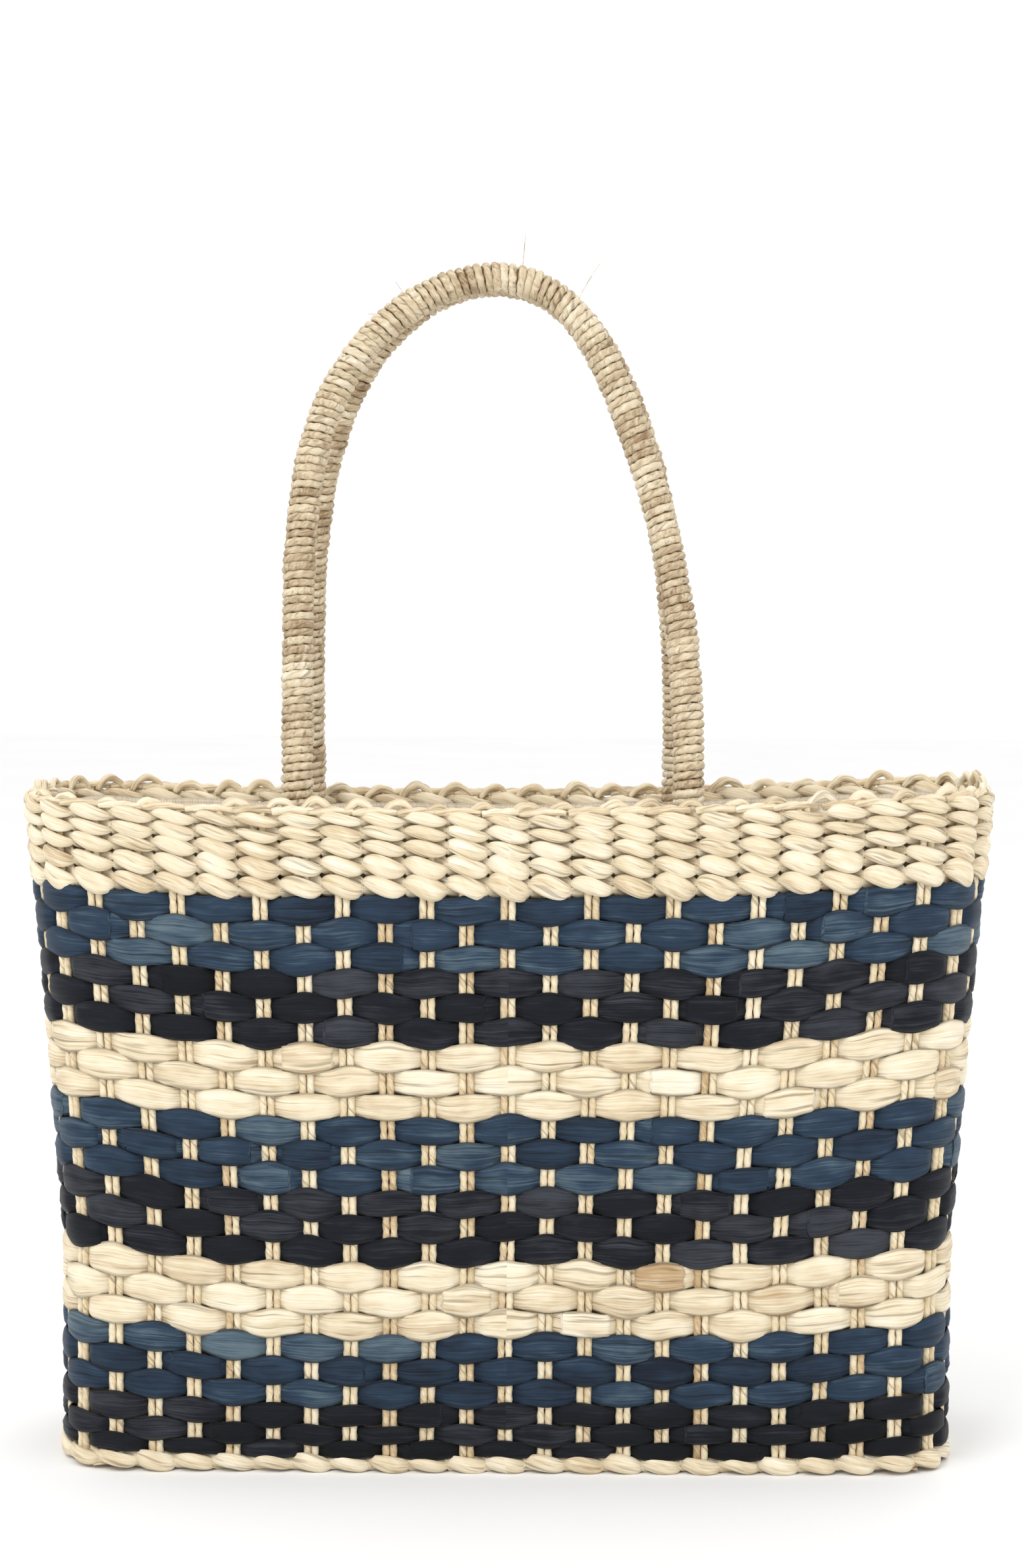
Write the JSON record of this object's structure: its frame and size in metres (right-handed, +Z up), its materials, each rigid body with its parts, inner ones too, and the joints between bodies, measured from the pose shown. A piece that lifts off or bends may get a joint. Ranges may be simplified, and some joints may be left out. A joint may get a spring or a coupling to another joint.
{
  "type": "woven market basket",
  "caption": "Open-topped rectangular basket woven in flat dyed plant strips over cord stakes, with a twined rim band, cloth lining and cord-wrapped arched handles that fold outwards.",
  "frame": {"origin": "on the ground, under the middle of the base", "axes": "+X along the basket's length to the right, +Y towards the back, +Z up; the front faces -Y"},
  "size_m": [0.4124, 0.126, 0.5066],
  "materials": {
    "natural_strip": "dry undyed leaf husk",
    "blue_strip": "blue-dyed leaf husk, slight sheen",
    "black_strip": "black-dyed leaf husk, slight sheen",
    "twined_strand": "dry undyed leaf husk, twisted",
    "stake_cord": "twisted two-ply husk cord",
    "handle_cord": "twisted husk cord, wound close",
    "handle_core": "bundled husk rope",
    "lining_cloth": "plain-woven linen, unbleached"
  },
  "bodies": {
    "basket": {"base_mat": "natural_strip", "foot_rope": "twined_strand", "warp_stakes": "stake_cord", "weft_row_01": "black_strip", "weft_row_02": "black_strip", "weft_row_03": "black_strip", "weft_row_04": "blue_strip", "weft_row_05": "blue_strip", "weft_row_06": "blue_strip", "weft_row_07": "natural_strip", "weft_row_08": "natural_strip", "weft_row_09": "natural_strip", "weft_row_10": "black_strip", "weft_row_11": "black_strip", "weft_row_12": "black_strip", "weft_row_13": "blue_strip", "weft_row_14": "blue_strip", "weft_row_15": "blue_strip", "weft_row_16": "natural_strip", "weft_row_17": "natural_strip", "weft_row_18": "natural_strip", "weft_row_19": "black_strip", "weft_row_20": "black_strip", "weft_row_21": "black_strip", "weft_row_22": "blue_strip", "weft_row_23": "blue_strip", "weft_row_24": "blue_strip", "twined_row_1_outer": "twined_strand", "twined_row_1_inner": "twined_strand", "twined_row_2_outer": "twined_strand", "twined_row_2_inner": "twined_strand", "twined_row_3_outer": "twined_strand", "twined_row_3_inner": "twined_strand", "twined_row_4_outer": "twined_strand", "twined_row_4_inner": "twined_strand", "twined_row_5_outer": "twined_strand", "twined_row_5_inner": "twined_strand", "rim_border": "stake_cord", "lining": "lining_cloth", "handle_tail_front_left": "handle_cord", "handle_tail_front_right": "handle_cord", "handle_tail_back_left": "handle_cord", "handle_tail_back_right": "handle_cord", "tail_lashing_front_left": "handle_cord", "tail_lashing_front_right": "handle_cord", "tail_lashing_back_left": "handle_cord", "tail_lashing_back_right": "handle_cord"},
    "handle_front": {"handle_front_wrap": "handle_cord", "handle_front_core": "handle_core"},
    "handle_back": {"handle_back_wrap": "handle_cord", "handle_back_core": "handle_core"}
  },
  "joints": [
    {"name": "handle_front_fold", "type": "hinge", "parent": "basket", "child": "handle_front", "pos_m": [0, -0.04359, 0.28707], "axis": [1, 0, 0], "range_deg": [0, 100]},
    {"name": "handle_back_fold", "type": "hinge", "parent": "basket", "child": "handle_back", "pos_m": [0, 0.04359, 0.28707], "axis": [-1, 0, 0], "range_deg": [0, 100]}
  ]
}
